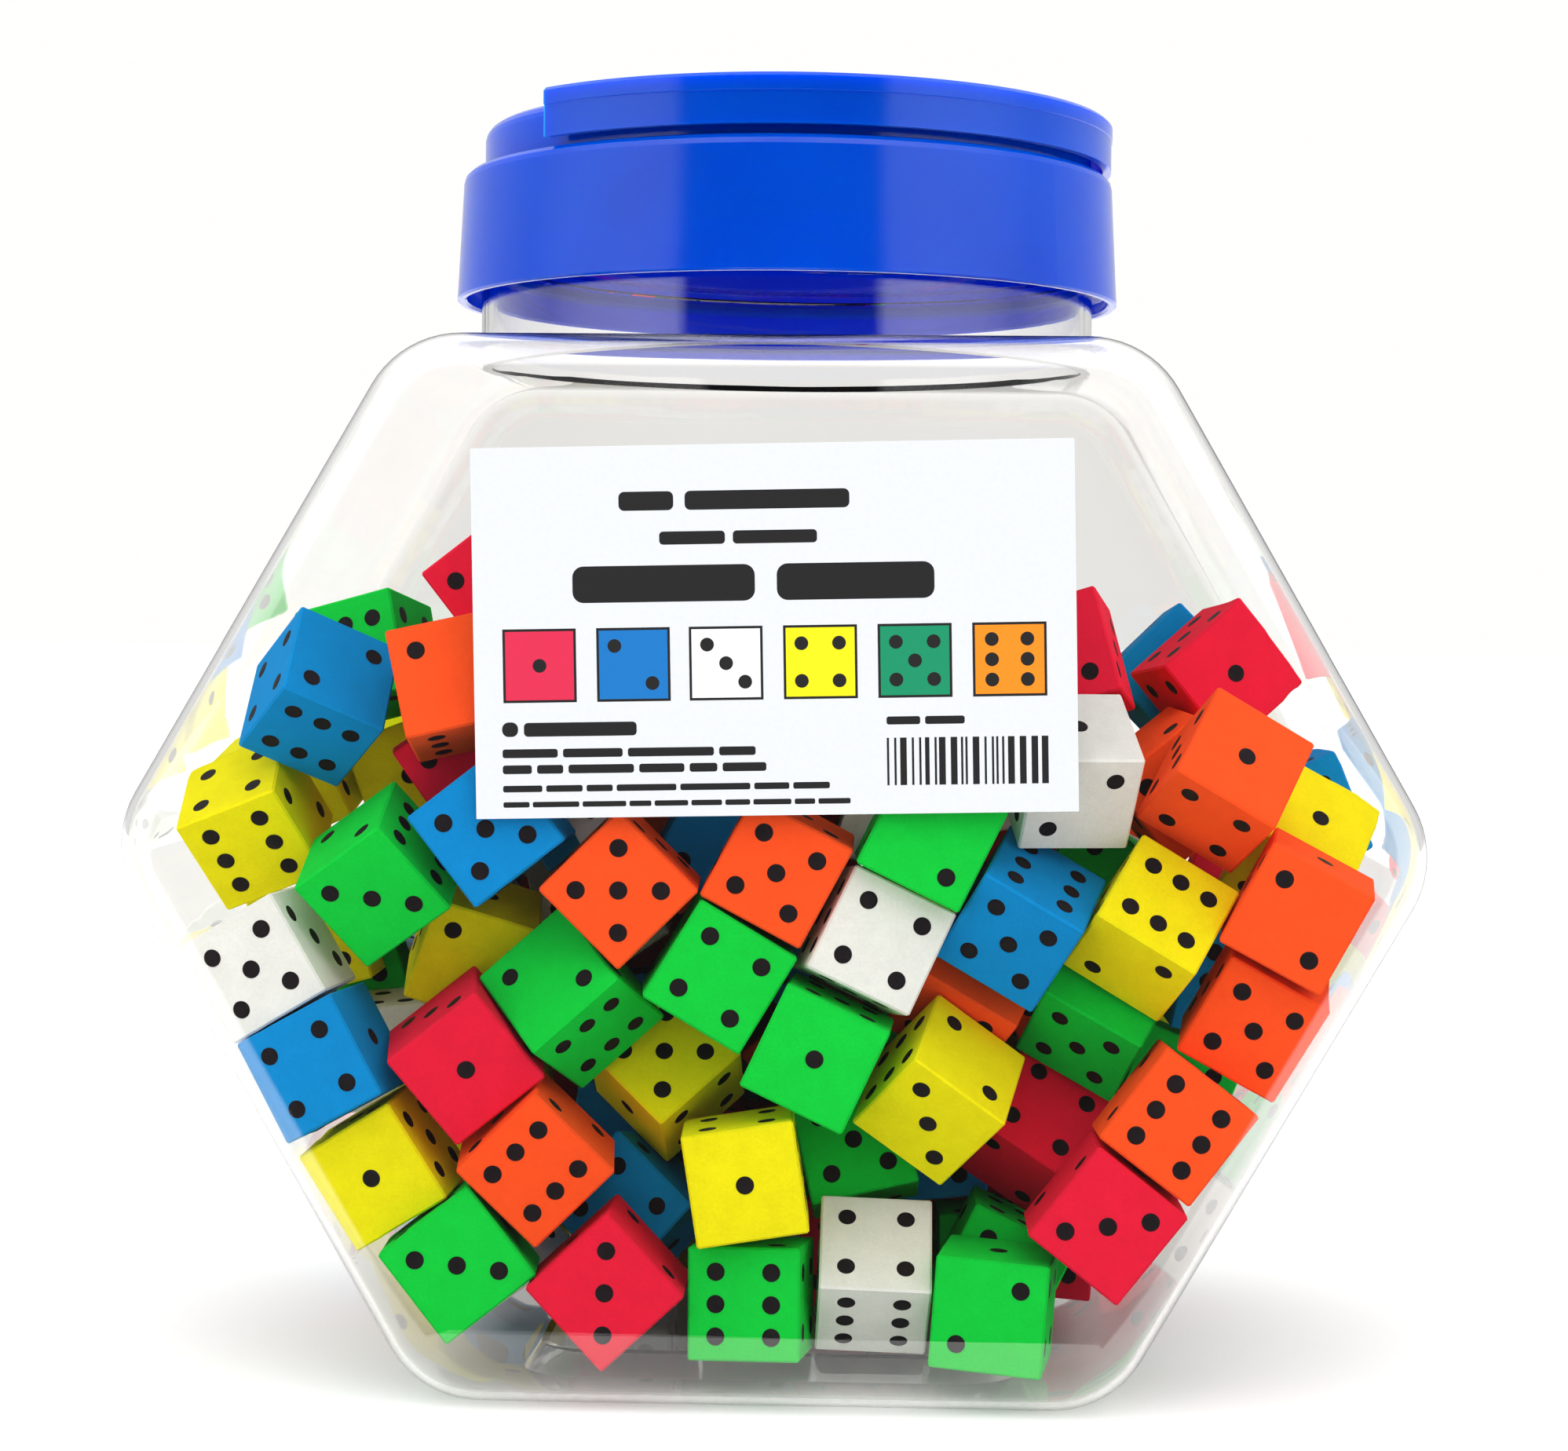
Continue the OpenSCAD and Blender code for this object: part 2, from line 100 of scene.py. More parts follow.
def revolve(name, profile):
    """A solid of revolution about Z from (r, z) points in mm."""
    verts, faces, n = [], [], len(profile)
    for i in range(ROUND_STEPS):
        a = 2 * math.pi * i / ROUND_STEPS
        verts += [(r * MM * math.cos(a), r * MM * math.sin(a), z * MM) for r, z in profile]
    for i in range(ROUND_STEPS):
        j = (i + 1) % ROUND_STEPS
        for k in range(n):
            m = (k + 1) % n
            faces.append((i * n + k, j * n + k, j * n + m, i * n + m))
    return new_solid(name, verts, faces)


def arc(x, y, r, start, sweep, steps):
    """Points on an arc about (x, y), from start over sweep, in degrees."""
    turns = [math.radians(start + sweep * k / steps) for k in range(steps + 1)]
    return [(x + r * math.cos(a), y + r * math.sin(a)) for a in turns]


# ---------------------------------------------------------------- materials

def material(name):
    mat = bpy.data.materials.new(name)
    mat.use_nodes = True
    return mat, mat.node_tree, mat.node_tree.nodes["Principled BSDF"]


def link(tree, a, b):
    tree.links.new(a, b)


def set_inputs(node, values):
    for name, value in values.items():
        node.inputs[name].default_value = value


def noise(tree, scale, detail, rough):
    """A noise value fixed to the object."""
    where = tree.nodes.new("ShaderNodeTexCoord")
    node = tree.nodes.new("ShaderNodeTexNoise")
    set_inputs(node, {"Scale": scale, "Detail": detail, "Roughness": rough})
    link(tree, where.outputs["Object"], node.inputs["Vector"])
    return node.outputs["Fac"]


def two_tones(tree, shader, source, low, high, at=(0.3, 0.7)):
    """Colours the shader from low to high as the source goes between the two values of at."""
    ramp = tree.nodes.new("ShaderNodeValToRGB")
    for point, position, colour in zip(ramp.color_ramp.elements, at, (low, high)):
        point.position = position
        point.color = (*colour, 1)
    link(tree, source, ramp.inputs["Fac"])
    link(tree, ramp.outputs["Color"], shader.inputs["Base Color"])


def bump(tree, shader, source, strength, distance):
    """Raises the surface by the source, at most distance in metres."""
    node = tree.nodes.new("ShaderNodeBump")
    set_inputs(node, {"Strength": strength, "Distance": distance})
    link(tree, source, node.inputs["Height"])
    link(tree, node.outputs["Normal"], shader.inputs["Normal"])


def math_node(tree, operation, a, b):
    """A Math node's output, from an output a and an output or number b."""
    node = tree.nodes.new("ShaderNodeMath")
    node.operation = operation
    link(tree, a, node.inputs[0])
    if isinstance(b, float):
        node.inputs[1].default_value = b
    else:
        link(tree, b, node.inputs[1])
    return node.outputs[0]


def mix_shaders(tree, factor, first, second):
    """The mixed shader's output: first where factor is 0, second where it is 1."""
    mix = tree.nodes.new("ShaderNodeMixShader")
    link(tree, factor, mix.inputs["Fac"])
    link(tree, first, mix.inputs[1])
    link(tree, second, mix.inputs[2])
    return mix.outputs["Shader"]


def scaled(colour, k):
    return tuple(min(1.0, c * k) for c in colour)


def foam(name, colour):
    """Closed-cell foam: matt, with fine cells and a faint mottling."""
    mat, tree, shader = material(name)
    cells = noise(tree, scale=2600, detail=2, rough=0.6)
    mottle = noise(tree, scale=260, detail=3, rough=0.6)
    mean = math_node(tree, "MULTIPLY", math_node(tree, "ADD", cells, mottle), 0.5)
    two_tones(tree, shader, mean, scaled(colour, 0.92), scaled(colour, 1.04), at=(0.35, 0.65))
    set_inputs(shader, {"Roughness": 0.85, "Specular IOR Level": 0.1})
    bump(tree, shader, cells, strength=0.35, distance=0.1 * MM)
    return mat


def ink(name, colour):
    """Matt printing ink, slightly uneven."""
    mat, tree, shader = material(name)
    grain = noise(tree, scale=1800, detail=2, rough=0.5)
    two_tones(tree, shader, grain, scaled(colour, 0.85), scaled(colour, 1.15))
    set_inputs(shader, {"Roughness": 0.6, "Specular IOR Level": 0.12})
    return mat


def clear_pet():
    """Clear blown plastic with faint flow waves and tint, which lamps shine straight through."""
    mat, tree, shader = material("clear_pet")
    set_inputs(shader, {"Transmission Weight": 1.0, "IOR": 1.57, "Roughness": 0.0})
    flow = noise(tree, scale=22, detail=2, rough=0.4)
    two_tones(tree, shader, flow, (0.965, 0.96, 0.945), (0.985, 0.982, 0.97))
    bump(tree, shader, flow, strength=0.12, distance=0.6 * MM)
    path = tree.nodes.new("ShaderNodeLightPath")
    through = tree.nodes.new("ShaderNodeBsdfTransparent")
    mixed = mix_shaders(tree, path.outputs["Is Shadow Ray"], shader.outputs["BSDF"],
                        through.outputs["BSDF"])
    link(tree, mixed, tree.nodes["Material Output"].inputs["Surface"])
    return mat


def blue_plastic():
    """Glossy moulded plastic, slightly translucent, with a fine grain in its gloss."""
    mat, tree, shader = material("blue_plastic")
    grain = noise(tree, scale=900, detail=3, rough=0.6)
    cloud = noise(tree, scale=30, detail=2, rough=0.5)
    two_tones(tree, shader, cloud, (0.0, 0.06, 0.56), (0.0, 0.078, 0.66))
    gloss = tree.nodes.new("ShaderNodeMapRange")
    set_inputs(gloss, {"To Min": 0.08, "To Max": 0.15})
    link(tree, grain, gloss.inputs["Value"])
    link(tree, gloss.outputs["Result"], shader.inputs["Roughness"])
    set_inputs(shader, {"Specular IOR Level": 0.32, "Subsurface Weight": 1.0,
                        "Subsurface Radius": (0.1, 0.4, 1.0), "Subsurface Scale": 6 * MM})
    bump(tree, shader, grain, strength=0.03, distance=0.1 * MM)
    return mat


def paper(name, colour):
    """Coated paper with a faint fibre."""
    mat, tree, shader = material(name)
    fibre = noise(tree, scale=1400, detail=4, rough=0.6)
    two_tones(tree, shader, fibre, scaled(colour, 0.97), colour)
    set_inputs(shader, {"Roughness": 0.55})
    bump(tree, shader, fibre, strength=0.1, distance=0.05 * MM)
    return mat


def set_material(node, mat):
    """Gives all of a CAD node one material."""
    mesh = node.data
    if not mesh.materials:
        mesh.materials.append(mat)
    for i in range(len(mesh.materials)):
        mesh.materials[i] = mat


# ---------------------------------------------------------------- camera, light, floor

# Place in metres, turns in radians, lens and sensor width in mm.
CAMERA_AT = (0.0180, -0.4745, 0.1077)
CAMERA_YAW, CAMERA_PITCH, CAMERA_ROLL = 0.0376, -0.0298, 0.0095
CAMERA_LENS, SENSOR_WIDTH = 71.04, 36
CLIP_NEAR, CLIP_FAR = 0.01, 100

# Brightness of the tent from its back (0) round to its dark opening in front (1).
TENT_LEVELS = [(0.0, 0.42), (0.45, 0.42), (0.6, 0.8), (0.8, 1.0), (0.885, 0.9), (0.91, 0.03),
               (1.0, 0.02)]
# Strength of the tent's walls and roof, and the upward parts of a direction where they begin.
WALL_TO_ROOF = {"From Min": 0.3, "From Max": 0.7, "To Min": 1.75, "To Max": 3.0}
BACKDROP = (1.0, 0.995, 0.985, 1)

TABLE_FRONT, TABLE_REACH, TABLE_DROP = -0.09, 20, 0.0002
TABLE_WHITE = (0.93, 0.93, 0.93)


def make_camera():
    yaw, pitch, roll = CAMERA_YAW, CAMERA_PITCH, CAMERA_ROLL
    ahead = Vector((-math.sin(yaw) * math.cos(pitch), math.cos(yaw) * math.cos(pitch),
                    math.sin(pitch)))
    side = Vector((math.cos(yaw), math.sin(yaw), 0))
    top = side.cross(ahead)
    right = math.cos(roll) * side + math.sin(roll) * top
    up = -math.sin(roll) * side + math.cos(roll) * top
    data = bpy.data.cameras.new("camera")
    data.lens, data.sensor_width = CAMERA_LENS, SENSOR_WIDTH
    data.clip_start, data.clip_end = CLIP_NEAR, CLIP_FAR
    cam = bpy.data.objects.new("camera", data)
    turn = Matrix((right, up, -ahead)).transposed()
    cam.matrix_world = Matrix.Translation(CAMERA_AT) @ turn.to_4x4()
    bpy.context.scene.collection.objects.link(cam)
    bpy.context.scene.camera = cam


def make_light():
    """A white light tent with a dark opening in front, and a white backdrop that is seen only
    directly or straight through the clear plastic."""
    world = bpy.data.worlds.new("tent")
    bpy.context.scene.world = world
    world.use_nodes = True
    tree = world.node_tree
    where = tree.nodes.new("ShaderNodeTexCoord")
    towards_front = tree.nodes.new("ShaderNodeVectorMath")
    towards_front.operation = "DOT_PRODUCT"
    towards_front.inputs[1].default_value = (0, -1, 0)
    link(tree, where.outputs["Generated"], towards_front.inputs[0])
    back_to_front = tree.nodes.new("ShaderNodeMapRange")
    set_inputs(back_to_front, {"From Min": -1})
    link(tree, towards_front.outputs["Value"], back_to_front.inputs["Value"])
    ramp = tree.nodes.new("ShaderNodeValToRGB")
    points = ramp.color_ramp.elements
    while len(points) < len(TENT_LEVELS):
        points.new(0.5)
    for point, (position, level) in zip(points, TENT_LEVELS):
        point.position = position
        point.color = (level, level, level, 1)
    link(tree, back_to_front.outputs["Result"], ramp.inputs["Fac"])
    split = tree.nodes.new("ShaderNodeSeparateXYZ")
    link(tree, where.outputs["Generated"], split.inputs["Vector"])
    strength = tree.nodes.new("ShaderNodeMapRange")
    set_inputs(strength, WALL_TO_ROOF)
    link(tree, split.outputs["Z"], strength.inputs["Value"])
    tent = tree.nodes["Background"]
    link(tree, ramp.outputs["Color"], tent.inputs["Color"])
    link(tree, strength.outputs["Result"], tent.inputs["Strength"])
    backdrop = tree.nodes.new("ShaderNodeBackground")
    set_inputs(backdrop, {"Color": BACKDROP, "Strength": 1.0})
    path = tree.nodes.new("ShaderNodeLightPath")
    unreflected = math_node(tree, "LESS_THAN", path.outputs["Glossy Depth"], 0.5)
    through = math_node(tree, "MULTIPLY", path.outputs["Is Transmission Ray"], unreflected)
    seen = math_node(tree, "MAXIMUM", path.outputs["Is Camera Ray"], through)
    mixed = mix_shaders(tree, seen, tent.outputs["Background"], backdrop.outputs["Background"])
    link(tree, mixed, tree.nodes["World Output"].inputs["Surface"])


def make_floor():
    """A white table whose front edge is just in front of the tub."""
    far = TABLE_REACH
    floor = new_mesh("floor", [(-far, TABLE_FRONT, 0), (far, TABLE_FRONT, 0), (far, far, 0),
                               (-far, far, 0)], [(0, 1, 2, 3)])
    floor.data.materials.append(paper("floor_paper", TABLE_WHITE))
    floor.location.z = -TABLE_DROP


# ---------------------------------------------------------------- tub

TUB_W, TUB_H, TUB_D = 186.0, 149.0, 104.0
WAIST_Z, CORNER_R, EDGE_R, WALL = 77.5, 14.5, 6.5, 1.0
SLOPE = math.radians(30)
CORNER_STEPS, EDGE_STEPS = 10, 14
PUSH_UP = 4.0
# Centres of the push-up's corner circles, and their radii at the foot and at the top.
PUSH_X, PUSH_Y, PUSH_FOOT_R, PUSH_TOP_R, PUSH_FOOT_Z, PUSH_STEPS = 26, 28, 10.0, 6.0, -1.0, 8
NECK_R, NECK_WALL, NECK_TOP, RIM_BEVEL = 46.4, 1.6, 173.9, 0.4
NECK_FOOT, BORE_TOP = 120, 180
THREAD_PITCH, THREAD_DEPTH, THREAD_Z, THREAD_TURNS = 5.0, 1.2, 162.4, 1.25
# The ridge's root lies inside the neck's wall; it fades out over a few steps at both ends.
THREAD_ROOT, THREAD_ROOT_HALF, THREAD_TIP_HALF = 0.5, 1.3, 0.5
THREAD_STEPS, THREAD_FADE = 120, 12
CRISP_ANGLE = 28


def half_width(z, inset):
    return TUB_W / 2 - inset / math.cos(SLOPE) - abs(WAIST_Z - z) * math.tan(SLOPE)


def hexagon_outline(inset):
    """The rounded hexagon seen from the front, inside the outer skin by inset."""
    points = []
    low, high = CORNER_R, TUB_H - CORNER_R
    corners = [(1, WAIST_Z, -30), (1, high, 30), (-1, high, 90), (-1, WAIST_Z, 150),
               (-1, low, 210), (1, low, 270)]
    for side, z, start in corners:
        x = side * half_width(z, CORNER_R)
        points += arc(x, z, CORNER_R - inset, start, 60, CORNER_STEPS)
    return points


def rounded_prism(name, inset):
    """The tub's body: flat panels that roll into the sides, inside the outer skin by inset."""
    verts, faces, rings = [], [], []
    roll = EDGE_R - inset
    middle = TUB_D / 2 - EDGE_R
    quarter = [90 * k / EDGE_STEPS for k in range(EDGE_STEPS + 1)]
    turns = [(-middle, t - 90) for t in quarter] + [(middle, t) for t in quarter]
    for start, t in turns:
        a = math.radians(t)
        y = start + roll * math.sin(a)
        outline = hexagon_outline(inset + roll * (1 - math.cos(a)))
        rings.append(range(len(verts), len(verts) + len(outline)))
        verts += [(x * MM, y * MM, z * MM) for x, z in outline]
    n = len(rings[0])
    for a, b in zip(rings, rings[1:]):
        faces += [(a[i], a[(i + 1) % n], b[(i + 1) % n], b[i]) for i in range(n)]
    faces.append(tuple(reversed(rings[0])))
    faces.append(tuple(rings[-1]))
    return new_solid(name, verts, faces)


def base_panel(name, inset, top):
    """The pushed-up middle of the base, a block with rounded corners and drafted sides."""
    verts = []
    for z, r in ((PUSH_FOOT_Z, PUSH_FOOT_R), (top, PUSH_TOP_R)):
        for sx, sy, start in ((1, 1, 0), (-1, 1, 90), (-1, -1, 180), (1, -1, 270)):
            corner = arc(sx * (PUSH_X + inset), sy * (PUSH_Y + inset), r, start, 90, PUSH_STEPS)
            verts += [(x * MM, y * MM, z * MM) for x, y in corner]
    n = len(verts) // 2
    faces = [(i, (i + 1) % n, n + (i + 1) % n, n + i) for i in range(n)]
    faces += [tuple(reversed(range(n))), tuple(range(n, 2 * n))]
    return new_mesh(name, verts, faces)


def thread_ridge():
    """The neck's outside thread, a helical ridge."""
    verts, faces = [], []
    for i in range(THREAD_STEPS + 1):
        turns = THREAD_TURNS * i / THREAD_STEPS
        a = 2 * math.pi * turns
        z = THREAD_Z + THREAD_PITCH * turns
        tip = THREAD_DEPTH * min(1, i / THREAD_FADE, (THREAD_STEPS - i) / THREAD_FADE)
        for dr, dz in ((-THREAD_ROOT, -THREAD_ROOT_HALF), (tip, -THREAD_TIP_HALF),
                       (tip, THREAD_TIP_HALF), (-THREAD_ROOT, THREAD_ROOT_HALF)):
            r = NECK_R + dr
            verts.append((r * math.cos(a) * MM, r * math.sin(a) * MM, (z + dz) * MM))
    for i in range(THREAD_STEPS):
        for j in range(4):
            a, b = 4 * i + j, 4 * i + (j + 1) % 4
            faces.append((a, b, b + 4, a + 4))
    faces += [(3, 2, 1, 0), tuple(4 * THREAD_STEPS + j for j in range(4))]
    return new_solid("thread", verts, faces)


def make_tub():
    """The clear body: an outer skin with neck, thread and push-up, hollowed by an inner one."""
    tub = rounded_prism("tub_shell", 0)
    neck = revolve("neck", [(0, NECK_FOOT), (NECK_R, NECK_FOOT), (NECK_R, NECK_TOP - RIM_BEVEL),
                            (NECK_R - RIM_BEVEL, NECK_TOP), (0, NECK_TOP)])
    boolean(tub, neck, "UNION")
    boolean(tub, thread_ridge(), "UNION")
    boolean(tub, base_panel("recess", 0, PUSH_UP), "DIFFERENCE")
    hollow = rounded_prism("hollow", WALL)
    boolean(hollow, base_panel("recess", WALL, PUSH_UP + WALL), "DIFFERENCE")
    bore_r = NECK_R - NECK_WALL
    bore = revolve("bore", [(0, NECK_FOOT), (bore_r, NECK_FOOT), (bore_r, BORE_TOP), (0, BORE_TOP)])
    boolean(hollow, bore, "UNION")
    boolean(tub, hollow, "DIFFERENCE")
    smooth_by_angle(tub, CRISP_ANGLE)
    tub.data.materials.clear()
    tub.data.materials.append(clear_pet())
    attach(tub, "tub")
    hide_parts("tub_body")


# ---------------------------------------------------------------- dice

# The dice in front: colour, place (x, z) in mm, spin and lean in degrees, and their faces as
# letter and value. F front, K back, T top, B bottom, R right, L left; \ and / are the diagonals
# that the spots of a 2 or 3 lie on, | and - the run of a 6's lines of three.
SHOWN = [
    ("green", -59, 76, 38, 22, r"F3\ T2"), ("blue", -42.5, 79.5, 38, 0, "F5"),
    ("yellow", -78.5, 76, 25, 29, "F6| T4"), ("blue", -62, 93, -28, -34, "F2 L4"),
    ("green", -58, 99, 15, -10, "F6"), ("orange", -45.5, 98, 13, -15, "F2\\"),
    ("yellow", -44, 63, -18, 16, "F2 L3"), ("yellow", -14, 41, 45, -30, "B4"),
    ("blue", -17.5, 24.5, 50, -10, "F4"), ("green", -29.5, 53, 48, -26, r"F2\ B6-"),
    ("green", 16.5, 32, 14, -18, "B3"), ("yellow", 25.5, 44.5, -42, 29, r"F3\ T2"),
    ("red", 38, 31, -39, -30, "F4"), ("green", 46, 52, -37, -38, "F1 B5"),
    ("orange", 30, 57, -38, -36, "F1"), ("white", 45, 87, 0, 35, "F2 T1"),
    ("red", 48, 92, 17, -12, "F2 R3"), ("orange", 57, 89, -51, 4, "F4 T1"),
    ("red", 66, 90, 40, -5, "F1"), ("blue", 40.5, 76.5, -33, 23, "F5"),
    ("yellow", 56, 70, -37, -32, "F6- B2"), ("orange", 62, 82.5, -35, -28, "F1"),
    ("yellow", 76, 76.5, -37, -38, "F1"), ("orange", 72.5, 67, -28, 5, r"F2\ T1"),
    ("white", 14.5, 14.5, -3, -46, "F4 B6|"), ("green", -6, 14.5, 1, -5, "F6|"),
    ("yellow", -1, 33, 9, 0, "F1"), ("green", 32, 13, -4, 0, "F2/ T1"),
    ("red", -44.5, 45.5, 39, 8, "F1 T3"), ("yellow", -56, 36, 32, 5, "F1"),
    ("green", -46, 21.8, 38, -3, "F3\\"), ("blue", -63.5, 49, 29, 0, "F4"),
    ("white", -71, 63, 31, 0, "F5"), ("red", -28, 16, 43, 0, "F3/"),
    ("orange", -32.8, 34.8, 45, 6, "F6-"), ("orange", -22.5, 70.5, 45, 2, "F5"),
    ("orange", 1, 75, -28, 4, "F5"), ("green", -7.8, 59.3, -31, 0, "F4"),
    ("green", 8, 50.5, -25, 0, "F1"), ("white", 14.8, 63.3, -26, -6, "F4"),
    ("green", 22.5, 79, -26, 0, "F2\\"), ("orange", 65.5, 53.3, -29, 10, "F5"),
    ("orange", 53.2, 39, -37, -3, "F6|"), ("red", 46.8, 24.2, -38, 0, "F3/"),
]
# Each face's axis and sense, and the axes that its right and up lie along.
FACES = {"F": (1, -1, 0, 2), "K": (1, 1, 0, 2), "T": (2, 1, 0, 1), "B": (2, -1, 0, 1),
         "R": (0, 1, 1, 2), "L": (0, -1, 1, 2)}
PAIRS = [("F", "K"), ("T", "B"), ("R", "L")]
OPPOSITE = dict(PAIRS) | {b: a for a, b in PAIRS}

COLOURS = {"red": (0.8, 0.012, 0.045), "blue": (0.002, 0.25, 0.62), "white": (0.81, 0.81, 0.77),
           "yellow": (0.88, 0.79, 0.004), "green": (0.004, 0.61, 0.05),
           "orange": (1.0, 0.09, 0.015)}
SPOT_BLACK = (0.008, 0.005, 0.007)
# Sizes on a die in mm: its softened edge, its spots, how deep they start and how far they stand.
DIE_EDGE, SPOT_R, SPOT_SIDES, SPOT_SUNK, SPOT_PROUD = 0.3, 1.27, 20, 0.3, 0.03
SPOT_OUT, SIX_LINES, SIX_ALONG = 4.15, 3.9, 4.45
POINTS_PER_METRE = 1e5
PER_MM_BEHIND = 0.15
PATTERN_SEED = 7


def find_boxes(obj):
    """The middle, the three edge directions and the edge length of every loose cube in a CAD
    node. Points nearer than a hundredth of a millimetre count as one."""
    co = np.array([v.co[:] for v in obj.data.vertices])
    grid = np.round(co * POINTS_PER_METRE).astype(int)
    _, first, same = np.unique(grid, axis=0, return_index=True, return_inverse=True)
    same = same.ravel()
    owner = list(range(len(first)))

    def root(i):
        while owner[i] != i:
            owner[i] = owner[owner[i]]
            i = owner[i]
        return i

    for poly in obj.data.polygons:
        ids = [root(same[i]) for i in poly.vertices]
        for i in ids[1:]:
            owner[root(i)] = root(ids[0])
    groups = {}
    for i in range(len(first)):
        groups.setdefault(root(i), []).append(co[first[i]])
    boxes = []
    for corners in groups.values():
        corners = np.array(corners)
        arms = corners - corners[0]
        lengths = np.linalg.norm(arms, axis=1)
        edges = np.argsort(lengths)[1:4]
        axes = np.array([arms[i] / lengths[i] for i in edges])
        boxes.append((corners.mean(axis=0), axes, float(lengths[edges[0]])))
    return sorted(boxes, key=lambda b: tuple(np.round(b[0], 4)))


def turned_axes(spin, lean):
    """A die's edge directions after a lean about X and then a spin about Y, in degrees."""
    a, b = math.radians(spin), math.radians(lean)
    spun = np.array([[math.cos(a), 0, math.sin(a)], [0, 1, 0], [-math.sin(a), 0, math.cos(a)]])
    leant = np.array([[1, 0, 0], [0, math.cos(b), -math.sin(b)], [0, math.sin(b), math.cos(b)]])
    return spun @ leant.T


def aligned(axes, wanted):
    """The box's edge directions in the order and sense of the wanted ones."""
    out, free = [], list(range(3))
    for want in wanted:
        best = max(free, key=lambda i: abs(axes[i] @ want))
        free.remove(best)
        out.append(axes[best] * (1 if axes[best] @ want > 0 else -1))
    return np.array(out)


def layout(code, rng):
    """Values of the six faces, opposite faces adding to seven, and the sense of each pattern."""
    values, sense = {}, {}
    for word in code.split():
        face, value = word[0], int(word[1])
        values[face], values[OPPOSITE[face]] = value, 7 - value
        if len(word) > 2:
            sense[face] = word[2]
    rest = [k for k in (1, 2, 3) if k not in values.values()]
    rng.shuffle(rest)
    for a, b in PAIRS:
        if a not in values:
            k = rest.pop()
            k = k if rng.random() < 0.5 else 7 - k
            values[a], values[b] = k, 7 - k
    for face in values:
        sense.setdefault(face, rng.choice("\\/") if values[face] < 6 else rng.choice("|-"))
    return values, sense


def spots(value, sense):
    """Places of the spots on a face in mm, as (right, up)."""
    if value == 6:
        places = [(a, b) for a in (-SIX_LINES, SIX_LINES) for b in (-SIX_ALONG, 0, SIX_ALONG)]
        return places if sense == "|" else [(b, a) for a, b in places]
    c = SPOT_OUT
    turn = 1 if sense == "/" else -1
    diagonal = [(-c, -c * turn), (c, c * turn)]
    other = [(-c, c * turn), (c, -c * turn)]
    middle = [(0, 0)]
    return {1: middle, 2: diagonal, 3: diagonal + middle, 4: diagonal + other,
            5: diagonal + other + middle}[value]


def add_cube(centre, axes, size, verts, faces, marks):
    """Adds a cube with softened edges: six faces, twelve edge strips and eight corners."""
    half, inner = size / 2, size / 2 - DIE_EDGE * MM
    corners = {}
    for signs in SIGNS:
        for k in range(3):
            p = [signs[i] * (half if i == k else inner) for i in range(3)]
            corners[signs, k] = len(verts)
            verts.append(centre + p[0] * axes[0] + p[1] * axes[1] + p[2] * axes[2])

    def corner(places, k):
        return corners[tuple(places[i] for i in range(3)), k]

    rings = []
    for k in range(3):
        i, j = (k + 1) % 3, (k + 2) % 3
        for side in (-1, 1):
            rings.append([corner({k: side, i: a, j: b}, k)
                          for a, b in ((-1, -1), (1, -1), (1, 1), (-1, 1))])
        for a, b in product((-1, 1), repeat=2):
            low, high = {k: -1, i: a, j: b}, {k: 1, i: a, j: b}
            rings.append([corner(low, i), corner(high, i), corner(high, j), corner(low, j)])
    for signs in SIGNS:
        rings.append([corners[signs, k] for k in range(3)])
    for ring in rings:
        a, b, c = (verts[i] for i in ring[:3])
        outward = sum(verts[i] for i in ring) / len(ring) - centre
        faces.append(ring if np.cross(b - a, c - b) @ outward > 0 else ring[::-1])
        marks.append(0)


def add_spots(centre, axes, size, values, sense, verts, faces, marks):
    """Adds a die's printed spots, as thin discs that start inside the foam."""
    n = SPOT_SIDES
    for name, (axis, side, right_axis, up_axis) in FACES.items():
        right, up, out = axes[right_axis], axes[up_axis], axes[axis] * side
        flip = np.cross(right, up) @ out < 0
        for a, b in spots(values[name], sense[name]):
            middle = centre + out * size / 2 + (right * a + up * b) * MM
            ring = list(range(len(verts), len(verts) + n))
            for depth in (-SPOT_SUNK * MM, SPOT_PROUD * MM):
                for q in range(n):
                    t = 2 * math.pi * q / n
                    rim = right * math.cos(t) + up * math.sin(t)
                    verts.append(middle + out * depth + rim * SPOT_R * MM)
            walls = [(p, q, q + n, p + n) for p, q in zip(ring, ring[1:] + ring[:1])]
            caps = [ring[::-1], [q + n for q in ring]]
            for face in walls + caps:
                faces.append(face[::-1] if flip else face)
                marks.append(1)


def far_from(row, middle):
    """How badly a die's middle fits a row of SHOWN: its distance in mm seen from the front,
    and a little for each mm behind the front panel."""
    x, y, z = middle / MM
    return math.hypot(x - row[1], z - row[2]) + PER_MM_BEHIND * (y + TUB_D / 2)


